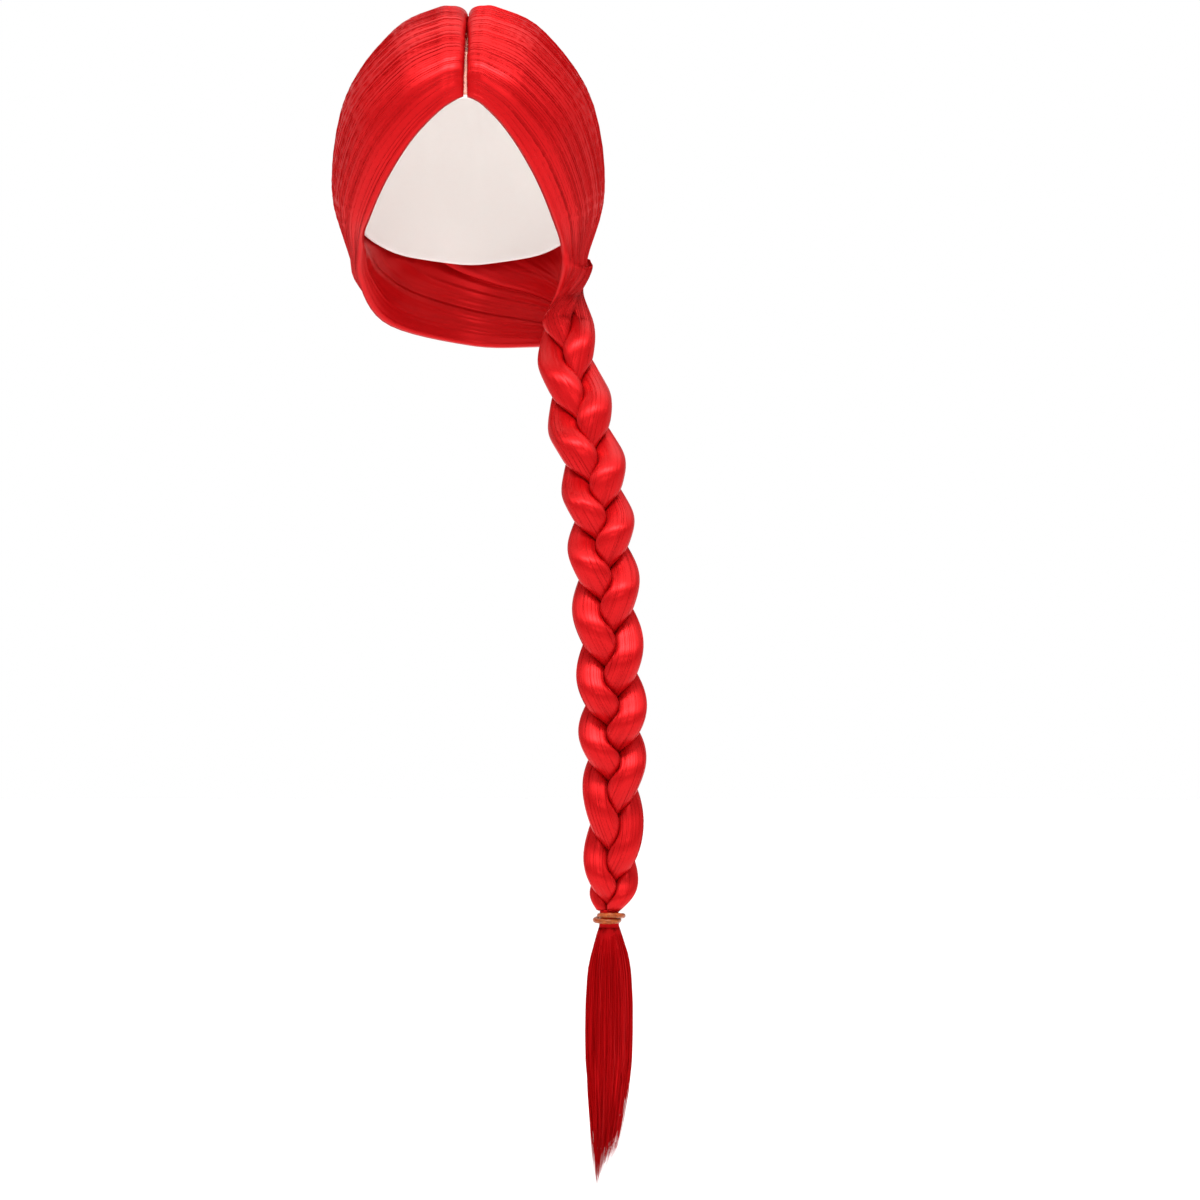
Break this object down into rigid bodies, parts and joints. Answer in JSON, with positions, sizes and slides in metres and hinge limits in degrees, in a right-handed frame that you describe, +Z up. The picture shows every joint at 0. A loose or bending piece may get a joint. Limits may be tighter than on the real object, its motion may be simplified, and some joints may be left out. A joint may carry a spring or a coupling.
{
  "type": "braided wig",
  "caption": "Long straight-haired wig with a centre parting on a thin cap, gathered behind the neck into a braid over the left shoulder and closed by a small elastic above a loose tail",
  "frame": {"origin": "highest point of the head hollow inside the cap, where the top of a head seats", "axes": "+Z up along the wearer's spine, -Y the way the wearer faces, +X towards the wearer's left shoulder"},
  "size_m": [0.2077, 0.2118, 0.7728],
  "materials": {
    "hair": "glossy straight synthetic fibre",
    "cap": "matt fine knitted net",
    "parting": "matt skin-toned strip",
    "elastic": "glossy translucent rubber"
  },
  "bodies": {
    "root": {"cap": "cap", "parting_strip": "parting", "hair_right": "hair", "hair_back": "hair", "hair_left": "hair", "braid_strand_nape": "hair", "braid_strand_back": "hair", "braid_strand_side": "hair", "elastic_tie": "elastic", "tail": "hair"}
  },
  "joints": []
}
